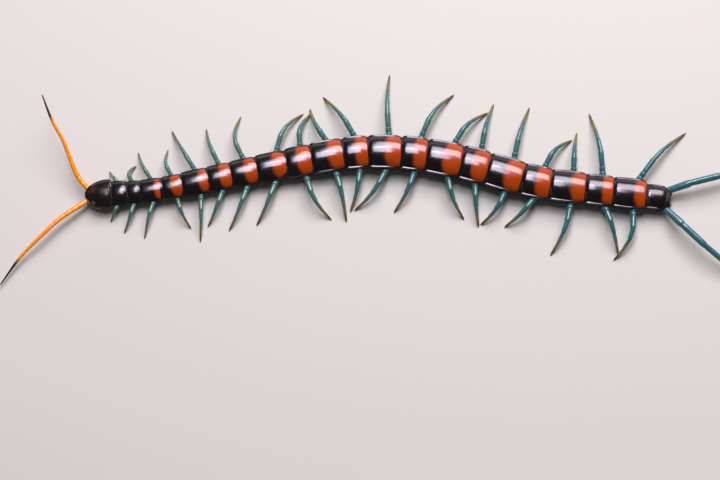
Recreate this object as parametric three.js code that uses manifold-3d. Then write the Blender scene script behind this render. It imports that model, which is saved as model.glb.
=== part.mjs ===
// A giant centipede at life size, standing still on a flat floor with its body in a gentle S.
// Millimetres. +X runs from the head to the tail, +Y is the animal's right side, +Z is up.
// The trunk is a chain of stiff rings, each with one pair of legs. Everything that grows from the
// trunk is placed from the chain, so a change to a ring's length or bend carries its legs along.
import * as THREE from "three";
import { mergeVertices } from "three/addons/utils/BufferGeometryUtils.js";
import Module from "manifold-3d";

const wasm = await Module();
wasm.setup();

// Driving sizes of the trunk, from the head back to the last ring.
const BELLY_HEIGHT = 0.9;
const HEAD_LENGTH = 5.2;
const HEAD_WIDTH = 6.0;
const RING_LENGTHS = [
  2.9, 2.8, 4.5, 4.1, 5.3, 4.7, 5.3, 6.1, 5.1, 6.5, 5.0, 6.6, 5.2, 7.0, 5.5, 7.3, 5.7, 7.1, 5.6, 6.5, 4.4,
];
const RING_WIDTHS = [
  5.2, 4.8, 4.8, 4.9, 5.3, 5.5, 5.7, 6.0, 6.4, 6.7, 6.8, 7.0, 7.1, 7.2, 7.2, 7.0, 6.8, 6.6, 6.4, 6.3, 5.1,
];
// Which way the head and each ring point, in degrees from +X towards +Y.
const HEADINGS = [
  3, 3, 5, 8, 10, 12, 12, 12, 11, 11, 10, 5, -1, -7, -11, -15, -17, -12, -7, -6, -7, -7,
];
const HEIGHT_SHARE = 0.6; // a ring's height over its width
const FIRST_RING_WIDTH = 4.8; // the width that the first ring's height is taken from
const WIDENING = 0.25; // and how much more for each ring behind it
const GAP = 0.3; // between neighbouring sub-parts
const FLOOR_SIZE = 400; // the block under the feet that flattens them
const FLOOR_DEPTH = 10;
const MERGE_DISTANCE = 1e-4; // corners closer than this are one
const BEND_REACH = 0.7; // how far from a joint the bend is spread
const SNOUT = new THREE.Vector2(-55, 10.2); // the front of the head in the plan
const PLAN_CENTRE = new THREE.Vector2(6.5, 14.3); // the middle of the plan's outline
const RINGS = RING_LENGTHS.length;

// Each walking leg in plan: lean of the thigh and of the foot in degrees from straight out, with
// plus towards the tail, and the reach from the hip to the claw's tip.
const LEG_POSES = {
  right: [
    [-35, -30, 4.5], [-25, 45, 5.5], [-25, -10, 8], [-20, 20, 7.5], [-20, -15, 11.5],
    [-15, 0, 10], [-15, 30, 11.5], [25, 60, 12], [5, 45, 9.5], [-25, -5, 10],
    [-25, -35, 13], [-5, 5, 15.5], [15, 40, 14], [20, 45, 12], [-5, 5, 12.5],
    [-5, 5, 14], [15, 45, 10.5], [-5, 5, 10.5], [-10, -20, 15.5], [30, 45, 16.5],
  ],
  left: [
    [-35, -30, 4.5], [-20, -30, 7], [-25, -20, 8.5], [5, 25, 7.5], [-10, -15, 10.5],
    [-30, -40, 9], [-30, -40, 11], [-30, -40, 11], [5, 35, 11.5], [5, 0, 11.5],
    [-10, -25, 10], [-25, -50, 12], [-10, -30, 10.5], [20, 45, 10.5], [15, 25, 10],
    [-5, -35, 9.5], [-25, -45, 9.5], [-5, -25, 12.5], [25, 20, 11.5], [5, -35, 12.5],
  ],
};
const HIP_ALONG = 0.68; // the hip's place along its ring
const HIP_OUT = 0.3; // and out from the middle, over the ring's width
const HIP_UP = 0.3; // and up from the belly, over the ring's height
const KNEE_SHARE = 0.43; // of the reach
const ANKLE_SHARE = 0.68;
const KNEE_RISE = 1.0; // above the hip
const ANKLE_HEIGHT = 1.9;
const CLAW_DEPTH = 0.05; // how far the claw's tip would pass the floor that cuts it flat
const SHORT_REACH = 5; // a leg with less reach than this is thinner
const SHORT_LEG_SHARE = 0.8;
const LEG_SIDES = 7;
// Distance along a leg as a share of its length, and its radius there on a ring 6.5 wide.
const LEG_PROFILE = [
  [0, 0.6], [0.16, 0.68], [0.3, 0.6], [0.41, 0.52], [0.44, 0.58], [0.57, 0.47], [0.6, 0.4],
  [0.63, 0.44], [0.78, 0.34], [0.9, 0.25], [1, 0.1],
];
const FULL_LEG_RING = 6.5;

// The last pair of legs trails behind the body. Lean is from straight back, outwards.
const LAST_LEGS = {
  right: { leans: [23, 21, 15], rise: 0.9 },
  left: { leans: [42, 38, 32], rise: 0.7 },
};
const LAST_ARTICLES = [5.6, 6.2, 5.1, 3.6, 2.1, 1.0]; // lengths down to the claw
const LAST_HEIGHTS = [3.2, 3.3, 2.4, 1.5, 0.9, -0.12];
const LAST_RADII = [0.82, 0.7, 0.56, 0.44, 0.34, 0.14];
const LAST_HIP_OUT = 1.5;
const LAST_HIP_AHEAD = 0.4; // of the end of the chain
const LAST_BASE_SHARE = 0.9; // the radius at the hip over the first article's
const LAST_NECK_SHARE = 0.84; // an article's end over its own radius
const LAST_FULLEST = 0.45; // where an article is thickest, along it

// Antennae, from the socket to the tip, as places they pass through.
const ANTENNA_PATHS = {
  right: [[-54, 11, 2.4], [-56.5, 14, 3], [-59.5, 21, 5], [-61.5, 24.5, 6.5], [-63.5, 29.5, 8]],
  left: [[-54, 9.5, 2.4], [-60, 5, 3], [-63, 2, 3], [-67.5, -2.5, 2], [-71.5, -8, 1]],
};
const ANTENNA_ARTICLES = 17;
const ANTENNA_SIDES = 8;
const ANTENNA_RADII = [0.62, 0.32, 0.14]; // at the socket, at the start of the dark end and at the tip
const ANTENNA_DARK_END = 0.75; // where the dark end starts, as a share of the length
const ANTENNA_NECK = 0.88; // an article's start over its full radius
const ANTENNA_FULLEST = 0.65; // where an article is thickest, along it
const TIP_RADIUS = 0.1; // of an antenna and of a claw

const shell = new THREE.MeshStandardMaterial({ color: 0x1b1416, roughness: 0.22, metalness: 0 });
const headShell = new THREE.MeshStandardMaterial({ color: 0x1a1512, roughness: 0.25, metalness: 0 });
const legShell = new THREE.MeshStandardMaterial({ color: 0x3f7c7a, roughness: 0.3, metalness: 0 });
const feelerShell = new THREE.MeshStandardMaterial({ color: 0xd9730d, roughness: 0.35, metalness: 0 });
const clawShell = new THREE.MeshStandardMaterial({ color: 0x4a2413, roughness: 0.25, metalness: 0 });

const centipede = new THREE.Group();
centipede.name = "giant_centipede";
centipede.position.set(-PLAN_CENTRE.x, -PLAN_CENTRE.y, 0);

// The chain: how far each joint lies from the snout, and where it is in the plan.
const lengths = [HEAD_LENGTH, ...RING_LENGTHS];
const jointDistances = [0];
const jointPlaces = [SNOUT.clone()];
lengths.forEach((length, k) => {
  const heading = THREE.MathUtils.degToRad(HEADINGS[k]);
  const step = new THREE.Vector2(Math.cos(heading), Math.sin(heading)).multiplyScalar(length);
  jointDistances.push(jointDistances[k] + length);
  jointPlaces.push(jointPlaces[k].clone().add(step));
});

// Place and directions of the chain at a distance from the snout. The bend at a joint is shared
// by the ends of both its neighbours.
function chainAt(distance) {
  let k = lengths.length - 1;
  while (k > 0 && distance < jointDistances[k]) k -= 1;
  const own = HEADINGS[k];
  const before = distance - jointDistances[k];
  const after = jointDistances[k + 1] - distance;
  let degrees = own;
  if (k > 0 && before < BEND_REACH) {
    degrees += ((HEADINGS[k - 1] - own) / 2) * (1 - before / BEND_REACH);
  } else if (k < lengths.length - 1 && after < BEND_REACH) {
    degrees += ((HEADINGS[k + 1] - own) / 2) * (1 - after / BEND_REACH);
  }
  const line = THREE.MathUtils.degToRad(own);
  const turned = THREE.MathUtils.degToRad(degrees);
  return {
    x: jointPlaces[k].x + Math.cos(line) * before,
    y: jointPlaces[k].y + Math.sin(line) * before,
    back: new THREE.Vector3(Math.cos(turned), Math.sin(turned), 0),
    right: new THREE.Vector3(-Math.sin(turned), Math.cos(turned), 0),
  };
}

// The first rings are as low as the head, and the next ones rise to their full height.
function ringHeight(k) {
  return HEIGHT_SHARE * Math.min(RING_WIDTHS[k], FIRST_RING_WIDTH + WIDENING * k);
}

// A closed three.js geometry as a solid.
function solidOf(geometry) {
  const bare = new THREE.BufferGeometry().setAttribute("position", geometry.getAttribute("position"));
  if (geometry.index) bare.setIndex(geometry.index);
  const merged = mergeVertices(bare, MERGE_DISTANCE);
  return new wasm.Manifold(
    new wasm.Mesh({
      numProp: 3,
      vertProperties: merged.getAttribute("position").array,
      triVerts: new Uint32Array(merged.index.array),
    }),
  );
}

// A closed skin over a row of outlines, which all have as many points as there are sides. It is
// a cylinder whose rims are moved on to the outlines.
function loft(outlines) {
  const sides = outlines[0].length;
  const rows = outlines.length - 1;
  const skin = new THREE.CylinderGeometry(1, 1, 1, sides, rows);
  const position = skin.getAttribute("position");
  for (let i = 0; i < position.count; i += 1) {
    const outline = outlines[Math.round((0.5 - position.getY(i)) * rows)];
    const x = position.getX(i);
    const z = position.getZ(i);
    const point = new THREE.Vector3();
    if (Math.hypot(x, z) > 0.5) {
      const column = Math.round((Math.atan2(x, z) / (2 * Math.PI) + 1) * sides) % sides;
      point.copy(outline[column]);
    } else {
      outline.forEach((corner) => point.addScaledVector(corner, 1 / sides));
    }
    position.setXYZ(i, point.x, point.y, point.z);
  }
  return solidOf(skin);
}

// Half of a cross-section from the top of the back to the middle of the belly: out as a share of
// the half width, up as a share of the height.
const TRUNK_SECTION = [
  [0, 1], [0.36, 0.965], [0.68, 0.86], [0.9, 0.71], [1, 0.55],
  [0.94, 0.44], [1.04, 0.27], [0.66, 0.02], [0, 0],
];
const HEAD_SECTION = [
  [0, 1], [0.38, 0.96], [0.7, 0.82], [0.92, 0.6], [1, 0.36], [0.93, 0.2], [0.72, 0.06], [0.4, 0], [0, 0],
];

// One outline across the chain. grow widens it evenly.
function crossSection(section, distance, halfWidth, base, height, grow = 0) {
  const at = chainAt(distance);
  const half = section.length - 1;
  const outline = [];
  for (let column = 0; column < 2 * half; column += 1) {
    const [out, up] = section[column <= half ? column : 2 * half - column];
    const sign = column <= half ? 1 : -1;
    const raised = base + up * height + (2 * up - 1) * grow;
    const point = new THREE.Vector3(at.x, at.y, raised);
    outline.push(point.addScaledVector(at.right, sign * out * (halfWidth + grow)));
  }
  return outline;
}

// A ring's width and height along it, as shares. It starts narrow, under the plate ahead of it,
// and its own plate has rounded corners and ends in a short lip.
const PLATE_PROFILE = [
  [0, 0.8, 0.9], [0.1, 0.9, 0.96], [0.35, 0.99, 1], [0.72, 1, 1], [0.92, 0.96, 0.99], [1, 0.88, 0.95],
];

function ringOutlines(k, grow) {
  const start = jointDistances[k + 1] + GAP / 2;
  const end = jointDistances[k + 2] - GAP / 2;
  return PLATE_PROFILE.map(([share, wide, high]) =>
    crossSection(
      TRUNK_SECTION,
      THREE.MathUtils.lerp(start, end, share),
      (RING_WIDTHS[k] / 2) * wide,
      BELLY_HEIGHT,
      ringHeight(k) * high,
      grow,
    ),
  );
}

// Behind the last plate the hips of the last legs stand out as a low block.
const HIP_BLOCK = [[0.05, 0.84, 0.72], [0.6, 0.76, 0.64], [1, 0.58, 0.5]];

function hipBlockOutlines() {
  const last = RINGS - 1;
  const end = jointDistances[RINGS + 1] - GAP / 2;
  return HIP_BLOCK.map(([behind, wide, high]) =>
    crossSection(
      TRUNK_SECTION,
      end + behind,
      (RING_WIDTHS[last] / 2) * wide,
      BELLY_HEIGHT,
      ringHeight(last) * high,
    ),
  );
}

// The first ring is a length of its own, and the others go in twos.
const trunkLengths = [[0]];
for (let k = 1; k < RINGS; k += 2) trunkLengths.push([k, k + 1]);

function trunkLength(rings, grow = 0) {
  const outlines = rings.flatMap((k) => ringOutlines(k, grow));
  if (rings.includes(RINGS - 1)) outlines.push(...hipBlockOutlines());
  return loft(outlines);
}

// The head is a low dome, half an ellipse in plan, with the plate that carries the venom claws
// fused under it and four simple eyes on each side.
const HEAD_STATIONS = [0.03, 0.2, 0.55, 1.15, 2, 3, 4, 4.7, 5.05];
const HEAD_FRONT = 4.7; // where the head is widest
const HEAD_TAPER = 1.9; // powers of the outline from there to the snout
const HEAD_ROUNDING = 0.5;
const NECK_NARROWING = 0.08; // for each millimetre behind the widest place
const HEAD_BASE = 1.8;
const HEAD_TOP = 3.75;
const SNOUT_LIFT = 0.35; // how much higher the base is at the snout
const SNOUT_DROP = 0.75; // and how much lower the top
const SNOUT_DROP_POWER = 2.2;
// The plate's distance from the snout, half width and thickness.
const CLAW_PLATE = [[1.7, 1, 0.75], [2.1, 1.7, 0.95], [3.2, 2.25, 1.1], [5.05, 2.3, 1.1]];
const CLAW_PLATE_TOP = 2.05;
const EYE_RADIUS = 0.24;
const EYES = [[1.35, 0.92], [1.6, 0.8], [1.75, 0.95], [2, 0.86]]; // distance, share of the half width

function headHalfWidth(distance) {
  const rest = THREE.MathUtils.clamp(1 - distance / HEAD_FRONT, 0, 1);
  const narrowing = 1 - NECK_NARROWING * Math.max(0, distance - HEAD_FRONT);
  return (HEAD_WIDTH / 2) * (1 - rest ** HEAD_TAPER) ** HEAD_ROUNDING * narrowing;
}

function headBase(distance) {
  return HEAD_BASE + SNOUT_LIFT * Math.max(0, 1 - distance / HEAD_FRONT);
}

function headTop(distance) {
  const rest = Math.max(0, 1 - distance / HEAD_FRONT);
  return HEAD_TOP - SNOUT_DROP * rest ** SNOUT_DROP_POWER;
}

// The height of the head's skin at a share of the half width out from the middle.
function headSkin(distance, share) {
  const next = HEAD_SECTION.findIndex(([out]) => out >= share);
  const [innerOut, innerUp] = HEAD_SECTION[next - 1];
  const [outerOut, outerUp] = HEAD_SECTION[next];
  const up = THREE.MathUtils.mapLinear(share, innerOut, outerOut, innerUp, outerUp);
  return THREE.MathUtils.lerp(headBase(distance), headTop(distance), up);
}

function headBody() {
  const dome = loft(
    HEAD_STATIONS.map((distance) => {
      const base = headBase(distance);
      return crossSection(HEAD_SECTION, distance, headHalfWidth(distance), base, headTop(distance) - base);
    }),
  );
  const clawPlate = loft(
    CLAW_PLATE.map(([distance, half, height]) =>
      crossSection(HEAD_SECTION, distance, half, CLAW_PLATE_TOP - height, height),
    ),
  );
  return dome.add(clawPlate);
}

function withEyes(body) {
  let head = body;
  for (const side of [-1, 1]) {
    for (const [distance, share] of EYES) {
      const at = chainAt(distance);
      const out = side * headHalfWidth(distance) * share;
      const eye = new THREE.SphereGeometry(EYE_RADIUS, 6, 4);
      eye.translate(at.x + at.right.x * out, at.y + at.right.y * out, headSkin(distance, share));
      head = head.add(solidOf(eye));
    }
  }
  return head;
}

// A round tapering limb along a smooth curve. profile has pairs of a share of the length and the
// radius there.
function limb(points, profile, sides, scale = 1) {
  const curve = new THREE.CatmullRomCurve3(points, false, "centripetal");
  const up = new THREE.Vector3(0, 0, 1);
  const outlines = profile.map(([share, radius]) => {
    const centre = curve.getPointAt(share);
    const ahead = curve.getTangentAt(share);
    const across = new THREE.Vector3().crossVectors(up, ahead).normalize();
    const above = new THREE.Vector3().crossVectors(ahead, across);
    return Array.from({ length: sides }, (_, column) => {
      const angle = (2 * Math.PI * column) / sides;
      return centre
        .clone()
        .addScaledVector(across, Math.sin(angle) * radius * scale)
        .addScaledVector(above, Math.cos(angle) * radius * scale);
    });
  });
  return loft(outlines);
}

function hipOf(k, side) {
  const at = chainAt(THREE.MathUtils.lerp(jointDistances[k + 1], jointDistances[k + 2], HIP_ALONG));
  const out = side * RING_WIDTHS[k] * HIP_OUT;
  const height = BELLY_HEIGHT + HIP_UP * ringHeight(k);
  return { at, place: new THREE.Vector3(at.x, at.y, height).addScaledVector(at.right, out) };
}

function walkingLeg(k, side, [thighLean, footLean, reach]) {
  const { at, place } = hipOf(k, side);
  const step = (lean, share) => {
    const angle = THREE.MathUtils.degToRad(lean);
    return new THREE.Vector3()
      .addScaledVector(at.right, side * Math.cos(angle) * share * reach)
      .addScaledVector(at.back, Math.sin(angle) * share * reach);
  };
  const knee = place.clone().add(step(thighLean, KNEE_SHARE));
  const ankle = knee.clone().add(step((thighLean + footLean) / 2, ANKLE_SHARE - KNEE_SHARE));
  const tip = ankle.clone().add(step(footLean, 1 - ANKLE_SHARE));
  const slender = Math.min(1, RING_WIDTHS[k] / FULL_LEG_RING) * (reach < SHORT_REACH ? SHORT_LEG_SHARE : 1);
  knee.z += KNEE_RISE * slender;
  ankle.z = ANKLE_HEIGHT * slender;
  tip.z = -CLAW_DEPTH;
  return limb([place, knee, ankle, tip], LEG_PROFILE, LEG_SIDES, slender);
}

function lastLeg(side, { leans, rise }) {
  const at = chainAt(jointDistances[RINGS + 1] - LAST_HIP_AHEAD);
  const hip = new THREE.Vector3(at.x, at.y, BELLY_HEIGHT + rise);
  const points = [hip.addScaledVector(at.right, side * LAST_HIP_OUT)];
  const profile = [[0, LAST_RADII[0] * LAST_BASE_SHARE]];
  const whole = LAST_ARTICLES.reduce((sum, length) => sum + length, 0);
  let along = 0;
  LAST_ARTICLES.forEach((length, article) => {
    const lean = THREE.MathUtils.degToRad(leans[Math.min(article, leans.length - 1)]);
    const next = points[article]
      .clone()
      .addScaledVector(at.back, Math.cos(lean) * length)
      .addScaledVector(at.right, side * Math.sin(lean) * length);
    next.z = LAST_HEIGHTS[article];
    points.push(next);
    const radius = LAST_RADII[article];
    profile.push([(along + length * LAST_FULLEST) / whole, radius]);
    along += length;
    const endsInClaw = article === LAST_ARTICLES.length - 1;
    profile.push([Math.min(1, along / whole), endsInClaw ? TIP_RADIUS : radius * LAST_NECK_SHARE]);
  });
  return limb(points, profile, LEG_SIDES + 1);
}

// An antenna's radius at a share of its length.
function antennaRadius(share) {
  const [socket, middle, tip] = ANTENNA_RADII;
  if (share < ANTENNA_DARK_END) return THREE.MathUtils.lerp(socket, middle, share / ANTENNA_DARK_END);
  return THREE.MathUtils.mapLinear(share, ANTENNA_DARK_END, 1, middle, tip);
}

function antenna(path) {
  const profile = [];
  for (let article = 0; article < ANTENNA_ARTICLES; article += 1) {
    const start = article / ANTENNA_ARTICLES;
    const radius = antennaRadius(start);
    profile.push([start, radius * ANTENNA_NECK], [start + ANTENNA_FULLEST / ANTENNA_ARTICLES, radius]);
  }
  profile.push([1, TIP_RADIUS]);
  return limb(path.map((p) => new THREE.Vector3(...p)), profile, ANTENNA_SIDES);
}

// A venom claw leaves the plate under the head, bows outwards beside it and curls in to the middle.
// Each place on its path is a distance, a width out from the middle, and a height.
const CLAW_PATH = [
  [3.5, 1.75, 1.35], [2.7, 2.25, 1.3], [1.85, 2.05, 1.2],
  [1.1, 1.5, 1.1], [0.65, 0.9, 1.05], [0.55, 0.32, 1.05],
];
const CLAW_SIDES = 8;
const CLAW_PROFILE = [[0, 0.5], [0.2, 0.6], [0.42, 0.52], [0.55, 0.42], [0.72, 0.34], [0.88, 0.24], [1, 0.1]];

function venomClaw(side) {
  const points = CLAW_PATH.map(([distance, out, height]) => {
    const at = chainAt(distance);
    return new THREE.Vector3(at.x, at.y, height).addScaledVector(at.right, side * out);
  });
  return limb(points, CLAW_PROFILE, CLAW_SIDES);
}

function geometryOf(solid) {
  const { vertProperties, triVerts } = solid.getMesh();
  const geometry = new THREE.BufferGeometry();
  geometry.setAttribute("position", new THREE.BufferAttribute(vertProperties, 3));
  geometry.setIndex(new THREE.BufferAttribute(triVerts, 1));
  return geometry;
}

// Adds a solid to the model as a mesh of its own, whose origin is where it is joined on.
function addNode(name, solid, material, anchor) {
  const largest = solid.decompose().sort((a, b) => b.volume() - a.volume())[0];
  const geometry = geometryOf(largest);
  geometry.translate(-anchor.x, -anchor.y, -anchor.z);
  geometry.computeVertexNormals();
  const mesh = new THREE.Mesh(geometry, material);
  mesh.name = name;
  mesh.position.copy(anchor);
  centipede.add(mesh);
}

// The room that a solid takes with the gap round it: the solid joined with copies of itself that
// are moved by a little more than the gap, in even directions.
const ROOM_SHARE = 1.2;
const ball = new THREE.IcosahedronGeometry(GAP * ROOM_SHARE);
const bareBall = new THREE.BufferGeometry().setAttribute("position", ball.getAttribute("position"));
const aroundBall = mergeVertices(bareBall).getAttribute("position");

function roomAround(solid) {
  let room = solid;
  for (let i = 0; i < aroundBall.count; i += 1) {
    const moved = geometryOf(solid).translate(aroundBall.getX(i), aroundBall.getY(i), aroundBall.getZ(i));
    room = room.add(solidOf(moved));
  }
  return room;
}

const number = (k) => String(k + 1).padStart(2, "0");

const head = headBody();
const snoutAnchor = new THREE.Vector3(SNOUT.x, SNOUT.y, 0);
addNode("head", withEyes(head), headShell, snoutAnchor);

// What every limb is cut clear of: the room round the head and the trunk, and the floor.
const floorBox = new THREE.BoxGeometry(FLOOR_SIZE, FLOOR_SIZE, FLOOR_DEPTH);
floorBox.translate(0, 0, -FLOOR_DEPTH / 2);
let taken = solidOf(floorBox).add(roomAround(head));

for (const rings of trunkLengths) {
  const at = chainAt(jointDistances[rings[0] + 1]);
  const name = ["trunk", ...rings.map(number)].join("_");
  const solid = trunkLength(rings);
  addNode(name, solid, shell, new THREE.Vector3(at.x, at.y, 0));
  taken = taken.add(rings.includes(RINGS - 1) ? roomAround(solid) : trunkLength(rings, GAP));
}

for (const [name, side] of [["left", -1], ["right", 1]]) {
  const cut = (solid) => solid.subtract(taken);
  const path = ANTENNA_PATHS[name];
  addNode(`antenna_${name}`, cut(antenna(path)), feelerShell, new THREE.Vector3(...path[0]));
  addNode(`venom_claw_${name}`, cut(venomClaw(side)), clawShell, snoutAnchor);
  LEG_POSES[name].forEach((pose, k) => {
    addNode(`leg_${name}_${number(k)}`, cut(walkingLeg(k, side, pose)), legShell, hipOf(k, side).place);
  });
  const last = hipOf(RINGS - 1, side).place;
  addNode(`leg_${name}_${number(RINGS - 1)}`, cut(lastLeg(side, LAST_LEGS[name])), legShell, last);
}

export default centipede;
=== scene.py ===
# %% [markdown]
# # A giant centipede at life size
# The animal is a flat chain of hard rings. Glossy back plates lie over it like roof tiles, soft dark
# skin fills the flanks, and every ring carries one pair of jointed legs. This lesson builds the fine
# surface of each part in mesh code, around a plain solid model that fixes all the places and sizes.

# %% Load the solid model
import math

import bpy
import numpy as np
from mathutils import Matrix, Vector, noise


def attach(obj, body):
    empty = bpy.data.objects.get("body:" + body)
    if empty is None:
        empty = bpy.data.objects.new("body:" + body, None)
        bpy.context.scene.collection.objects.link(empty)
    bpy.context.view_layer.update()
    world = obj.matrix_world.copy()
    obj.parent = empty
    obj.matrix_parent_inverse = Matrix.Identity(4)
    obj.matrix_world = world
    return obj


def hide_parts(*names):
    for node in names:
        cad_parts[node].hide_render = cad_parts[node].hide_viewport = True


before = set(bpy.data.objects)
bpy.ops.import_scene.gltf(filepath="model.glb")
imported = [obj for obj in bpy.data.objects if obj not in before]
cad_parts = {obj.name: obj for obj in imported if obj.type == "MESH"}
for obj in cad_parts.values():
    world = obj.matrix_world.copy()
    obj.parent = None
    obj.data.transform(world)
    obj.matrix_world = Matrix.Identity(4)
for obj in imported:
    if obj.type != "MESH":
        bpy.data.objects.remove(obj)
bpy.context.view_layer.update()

# %% [markdown]
# ## The sizes that drive everything
# The trunk is a chain of 21 rings behind the head. Each ring has a length, a width and a direction in
# the plan, so the gentle S of the body comes from the directions alone. A list for each is easier to
# read and to change than the places of all the joints, which follow from it. Sizes are millimetres.

# %% Sizes of the head and the rings
MM = 0.001
BELLY_HEIGHT = 0.9
HEAD_LENGTH = 5.2
HEAD_WIDTH = 6.0
RING_LENGTHS = [
    2.9, 2.8, 4.5, 4.1, 5.3, 4.7, 5.3, 6.1, 5.1, 6.5, 5.0, 6.6, 5.2, 7.0, 5.5, 7.3, 5.7, 7.1, 5.6, 6.5, 4.4,
]
RING_WIDTHS = [
    5.2, 4.8, 4.8, 4.9, 5.3, 5.5, 5.7, 6.0, 6.4, 6.7, 6.8, 7.0, 7.1, 7.2, 7.2, 7.0, 6.8, 6.6, 6.4, 6.3, 5.1,
]
# Which way the head and each ring point, in degrees from +X towards +Y.
HEADINGS = [3, 3, 5, 8, 10, 12, 12, 12, 11, 11, 10, 5, -1, -7, -11, -15, -17, -12, -7, -6, -7, -7]
HEIGHT_SHARE, LOW_WIDTH, LOW_STEP = 0.6, 4.8, 0.25
SNOUT = (-55.0, 10.2)
PLAN_CENTRE = (6.5, 14.3)
RINGS = len(RING_LENGTHS)
SIDES = {"left": -1, "right": 1}
UP = np.array([0.0, 0.0, 1.0])


def ring_height(ring):
    """A ring's height, a share of its width. A limit keeps the first rings as low as the head."""
    return HEIGHT_SHARE * min(RING_WIDTHS[ring], LOW_WIDTH + LOW_STEP * ring)


print("body length", round(HEAD_LENGTH + sum(RING_LENGTHS), 1), "mm in", RINGS, "rings")

# %% [markdown]
# ## The line of the body
# All parts are placed from one line along the body. At a distance from the snout it gives the place
# and the two directions, backward and to the animal's right. Near a joint the direction turns
# gradually, so that soft skin follows the bend, while a stiff plate keeps its own ring's direction.

# %% The chain of joints
BEND_REACH = 0.7


def directions(degrees):
    """Backward and rightward directions for a heading."""
    turn = math.radians(degrees)
    return np.array([math.cos(turn), math.sin(turn), 0.0]), np.array([-math.sin(turn), math.cos(turn), 0.0])


lengths = [HEAD_LENGTH] + RING_LENGTHS
steps = [directions(heading)[0] * length for heading, length in zip(HEADINGS, lengths)]
PLAN_SHIFT = np.array([*PLAN_CENTRE, 0.0])
JOINTS = np.concatenate([[0.0], np.cumsum(lengths)])
JOINT_PLACES = np.array([*SNOUT, 0.0]) - PLAN_SHIFT + np.vstack([np.zeros(3), np.cumsum(steps, axis=0)])


def link_at(distance):
    """The link that a distance from the snout falls in. Link 0 is the head, and the rings follow."""
    return int(np.clip(np.searchsorted(JOINTS, distance, side="right") - 1, 0, RINGS))


def chain_at(distance, stiff=None):
    """Place on the floor, backward and rightward at a distance from the snout.
    stiff is the link whose own direction is kept, for a plate that doesn't bend."""
    if stiff is not None:
        back, right = directions(HEADINGS[stiff])
        return JOINT_PLACES[stiff] + back * (distance - JOINTS[stiff]), back, right
    link = link_at(distance)
    own = HEADINGS[link]
    before, after = distance - JOINTS[link], JOINTS[link + 1] - distance
    degrees = own
    if link > 0 and before < BEND_REACH:
        degrees += (HEADINGS[link - 1] - own) / 2 * (1 - before / BEND_REACH)
    elif link < RINGS and after < BEND_REACH:
        degrees += (HEADINGS[link + 1] - own) / 2 * (1 - after / BEND_REACH)
    place = JOINT_PLACES[link] + directions(own)[0] * before
    return (place,) + directions(degrees)


print("tail joint at", np.round(JOINT_PLACES[-1], 1), "mm")

# %% [markdown]
# ## Skins from rows of points
# Nearly every piece of this animal is a skin over rows of points: a tube for a leg, a curved sheet
# for a plate. A small class gathers such patches into one mesh. It also keeps painted values, such
# as how far along a leg each point lies, because the materials later colour by those values. Painted
# values stay with the surface in every view, which a picture laid over it from one side does not.

# %% A class that gathers patches
class Skin:
    def __init__(self):
        self.points, self.faces, self.values, self.count = [], [], {}, 0

    def patch(self, rows, loop=True, caps=True, **values):
        """Adds rows of points. loop closes each row, caps closes the first and the last row.
        A painted value is one number, a list with a number for each row, or a grid."""
        rows = np.asarray(rows, float)
        count, columns = rows.shape[:2]
        laid = {}
        for name, value in values.items():
            value = np.asarray(value, float)
            laid[name] = np.broadcast_to(value[:, None] if value.ndim == 1 else value, (count, columns))
        added, extra = [rows.reshape(-1, 3)], {name: [v.reshape(-1)] for name, v in laid.items()}
        base = self.count
        last = columns if loop else columns - 1
        for i in range(count - 1):
            for j in range(last):
                a, b = base + i * columns + j, base + i * columns + (j + 1) % columns
                self.faces.append((a, b, b + columns, a + columns))
        if loop and caps:
            for end, row in ((count * columns, 0), (count * columns + 1, count - 1)):
                added.append(rows[row].mean(axis=0)[None])
                for name in extra:
                    extra[name].append(laid[name][row].mean(keepdims=True))
                for j in range(columns):
                    a, b = base + row * columns + j, base + row * columns + (j + 1) % columns
                    self.faces.append((b, a, base + end) if row == 0 else (a, b, base + end))
        added = np.concatenate(added)
        for name in sorted(set(self.values) | set(extra)):
            kept = self.values.setdefault(name, [np.zeros(self.count)])
            kept.append(np.concatenate(extra[name]) if name in extra else np.zeros(len(added)))
        self.points.append(added)
        self.count += len(added)

    def piece(self, name, material, slot, nodes, thickness=0.0):
        """Turns the patches into a finished piece that rides on the body."""
        mesh = bpy.data.meshes.new(name)
        points = np.concatenate(self.points) * MM
        mesh.from_pydata(points.tolist(), [], self.faces)
        for value, parts in self.values.items():
            layer = mesh.attributes.new(value, "FLOAT", "POINT")
            layer.data.foreach_set("value", np.concatenate(parts).astype(np.float32))
        mesh.shade_smooth()
        mesh.materials.append(material)
        made = bpy.data.objects.new(name, mesh)
        bpy.context.scene.collection.objects.link(made)
        if thickness:
            sheet = made.modifiers.new("thickness", "SOLIDIFY")
            sheet.thickness, sheet.offset = thickness * MM, -1
        rounder = made.modifiers.new("smooth", "SUBSURF")
        rounder.levels = rounder.render_levels = 1
        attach(made, "root")
        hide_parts(*nodes)
        return made


print("patches can be gathered")

# %% [markdown]
# ## Tubes along a line
# Legs, feelers and claws are tubes whose thickness changes from joint to joint. A ring of points is
# set square to the line at each step. Ring by ring is better here than a bevelled curve, because
# every joint can get its own narrow neck and its own painted value.

# %% Smooth lines
CLOSEST = 1e-6


def unit(vector):
    return vector / np.linalg.norm(vector)


def run_along(points):
    """The way gone along the points, from 0 at the first."""
    return np.concatenate([[0], np.cumsum(np.linalg.norm(np.diff(points, axis=0), axis=1))])


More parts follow.
